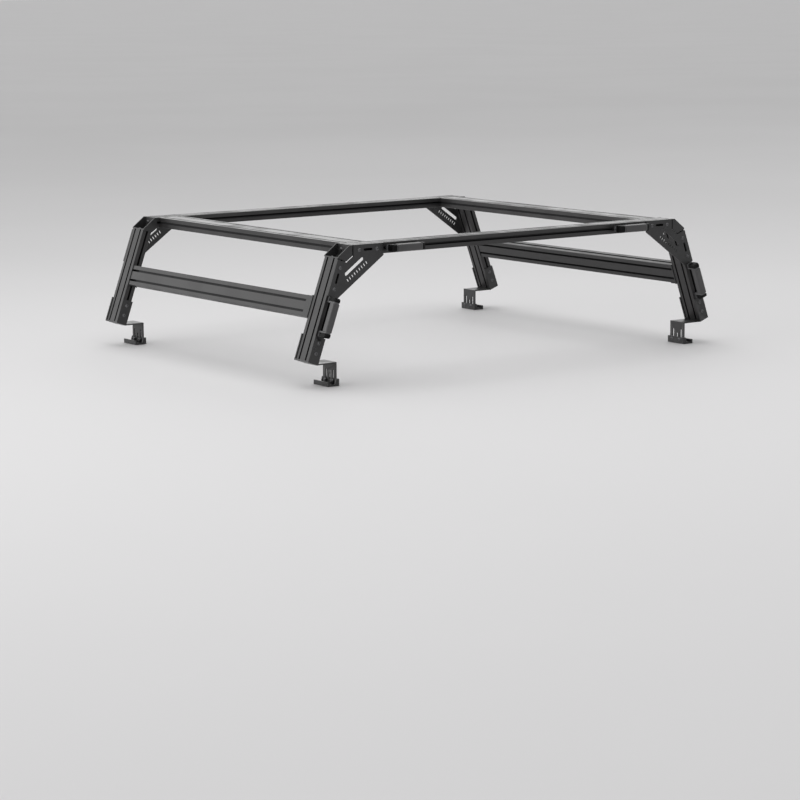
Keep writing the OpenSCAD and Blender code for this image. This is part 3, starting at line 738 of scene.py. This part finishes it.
class RACK_OT_brackets(bpy.types.Operator):
    """Coated corner brackets, gussets, feet, clamp jaws and side rail ends"""

    bl_idname = "rack.brackets"
    bl_label = "Brackets"

    def execute(self, context):
        made = finishes()
        pair = (made["coat"], made["coat_edge"])
        radius = context.scene.rack_finish.plate_edge
        for corner in CORNERS:
            for part in ("corner_bracket", "gusset", "foot", "jaw"):
                softened(f"{part}_{corner}", f"{part}_{corner}_plate", pair, radius)
        for side in SIDES:
            softened("side_rail_ends_" + side, f"side_rail_{side}_end_plates", pair, radius)
        return {"FINISHED"}


class RACK_OT_handles(bpy.types.Operator):
    """Grab handles: coated arms, brushed grips and moulded end caps"""

    bl_idname = "rack.handles"
    bl_label = "Handles"

    def execute(self, context):
        made = finishes()
        look = context.scene.rack_finish
        for place in ("crossbar", "leg"):
            for side in SIDES:
                where = f"{place}_{side}"
                softened("handle_arms_" + where, f"handle_{where}_arms", (made["arm"], made["arm_edge"]),
                         look.plate_edge)
                softened("handle_grip_" + where, f"handle_{where}_grip", (made["grip"], made["grip_edge"]),
                         look.cap_edge)
                softened("handle_caps_" + where, f"handle_{where}_caps", (made["cap"], made["cap_edge"]),
                         look.cap_edge)
        return {"FINISHED"}


class RACK_OT_screws(bpy.types.Operator):
    """Flanged button screws on every visible screw place"""

    bl_idname = "rack.screws"
    bl_label = "Screws"

    def execute(self, context):
        for node in ("gusset_bolts", "foot_bolts", "handle_bolts"):
            place_screws(node, node.replace("bolts", "screws"), 1, BOLT_RADIUS)
        for corner in CORNERS:
            place_screws("jaw_bolts_" + corner, f"jaw_{corner}_screws", 0, BOLT_RADIUS,
                         nut=(NUT_ACROSS, NUT_HEIGHT))
        return {"FINISHED"}


class RACK_OT_strips(bpy.types.Operator):
    """Finishes of the cover strips and of the hidden hardware"""

    bl_idname = "rack.strips"
    bl_label = "Cover strips"

    def execute(self, context):
        made = finishes()
        by_slot = {"cover_strip": "strip", "fastener": "screw"}
        for node, slot in SLOT_OF.items():
            if slot in by_slot and not NODES[node].hide_render:
                paint(node, made[by_slot[slot]])
        return {"FINISHED"}


def soft_light(name, place, aim, width, height, power):
    """Rectangular light that the camera doesn't see."""
    light = bpy.data.lights.new(name, "AREA")
    light.shape = "RECTANGLE"
    light.size, light.size_y = width, height
    light.energy = power
    obj = link(bpy.data.objects.new(name, light))
    obj.matrix_world = Matrix.Translation(place) @ (
        (Vector(aim) - Vector(place)).to_track_quat("-Z", "Y").to_matrix().to_4x4())
    obj.visible_camera = False


def studio_world(near, far):
    """White surroundings that are brighter beyond the rack's front than behind its rear."""
    world = bpy.data.worlds.new("studio")
    world.use_nodes = True
    tree = world.node_tree
    background = next(n for n in tree.nodes if n.type == "BACKGROUND")
    background.inputs["Color"].default_value = (1.0, 1.0, 1.0, 1.0)
    direction = tree.nodes.new("ShaderNodeTexCoord").outputs["Generated"]
    ahead = tree.nodes.new("ShaderNodeSeparateXYZ")
    tree.links.new(direction, ahead.inputs["Vector"])
    strength = remap(tree, ahead.outputs["Y"], -0.3, 0.8, near, far)
    tree.links.new(strength, background.inputs["Strength"])
    return world


class RACK_OT_stage(bpy.types.Operator):
    """Pale floor, soft lights, surrounding light and camera"""

    bl_idname = "rack.stage"
    bl_label = "Stage"

    def execute(self, context):
        stage = context.scene.rack_stage
        bm = bmesh.new()
        bmesh.ops.create_circle(bm, cap_ends=True, radius=FLOOR_RADIUS, segments=128,
                                matrix=Matrix.Translation((0, 0, CAD_BOX[0][2] - FLOOR_GAP)))
        floor = mesh_object("floor", bm)
        paper = Finish("pale_floor", tuple(stage.floor_colour), 0.75, grain_scale=300.0, patch_scale=0.4)
        floor.data.materials.append(paper.finish(lighter=1.01, specks=1.0, spread=0.03, bump=0.01 * MM))
        # painted shade: the floor's colour darkens towards the far side, standing in for light falling off
        paper.darken_along_y(-4.0, 14.0, stage.floor_falloff)
        context.scene.world = studio_world(stage.near_sky, stage.far_sky)
        soft_light("side_softbox", (-5.5, 0.5, 2.2), (0, 0, 0.3), 4.0, 3.0, stage.side_light)
        soft_light("top_softbox", (0.0, 0.0, 4.5), (0, 0, 0), 4.0, 4.0, stage.top_light)
        camera = bpy.data.cameras.new("camera")
        camera.sensor_width = 36
        camera.lens = stage.camera_lens
        camera.clip_end = 500
        turn, rise = stage.camera_turn, stage.camera_rise
        back = Vector((math.sin(turn) * math.cos(rise), -math.cos(turn) * math.cos(rise), math.sin(rise)))
        right = Vector((0, 0, 1)).cross(back).normalized()
        level = Matrix((right, back.cross(right), back)).transposed().to_4x4()
        obj = link(bpy.data.objects.new("camera", camera))
        obj.matrix_world = (Matrix.Translation(Vector(stage.camera_aim) + back * stage.camera_distance)
                            @ level @ Matrix.Rotation(stage.camera_roll, 4, "Z"))
        context.scene.camera = obj
        context.scene.view_settings.view_transform = "Standard"
        return {"FINISHED"}


class RACK_PT_panel(bpy.types.Panel):
    """Lists the steps that finish the rack"""

    bl_label = "Ladder rack"
    bl_idname = "RACK_PT_panel"
    bl_space_type = "VIEW_3D"
    bl_region_type = "UI"
    bl_category = "Rack"

    def draw(self, context):
        for operator in OPERATORS:
            self.layout.operator(operator.bl_idname)
        for group in (context.scene.rack_finish, context.scene.rack_stage):
            box = self.layout.box()
            for name in group.__annotations__:
                box.prop(group, name)


OPERATORS = (RACK_OT_profiles, RACK_OT_brackets, RACK_OT_handles, RACK_OT_screws, RACK_OT_strips,
             RACK_OT_stage)
CLASSES = (RackFinish, RackStage, *OPERATORS, RACK_PT_panel)


def register():
    for cls in CLASSES:
        bpy.utils.register_class(cls)
    bpy.types.Scene.rack_finish = PointerProperty(type=RackFinish)
    bpy.types.Scene.rack_stage = PointerProperty(type=RackStage)


def unregister():
    del bpy.types.Scene.rack_stage
    del bpy.types.Scene.rack_finish
    for cls in reversed(CLASSES):
        bpy.utils.unregister_class(cls)


def main():
    """Runs every step in order."""
    register()
    for operator in OPERATORS:
        group, name = operator.bl_idname.split(".")
        getattr(getattr(bpy.ops, group), name)()


if __name__ == "__main__":
    main()
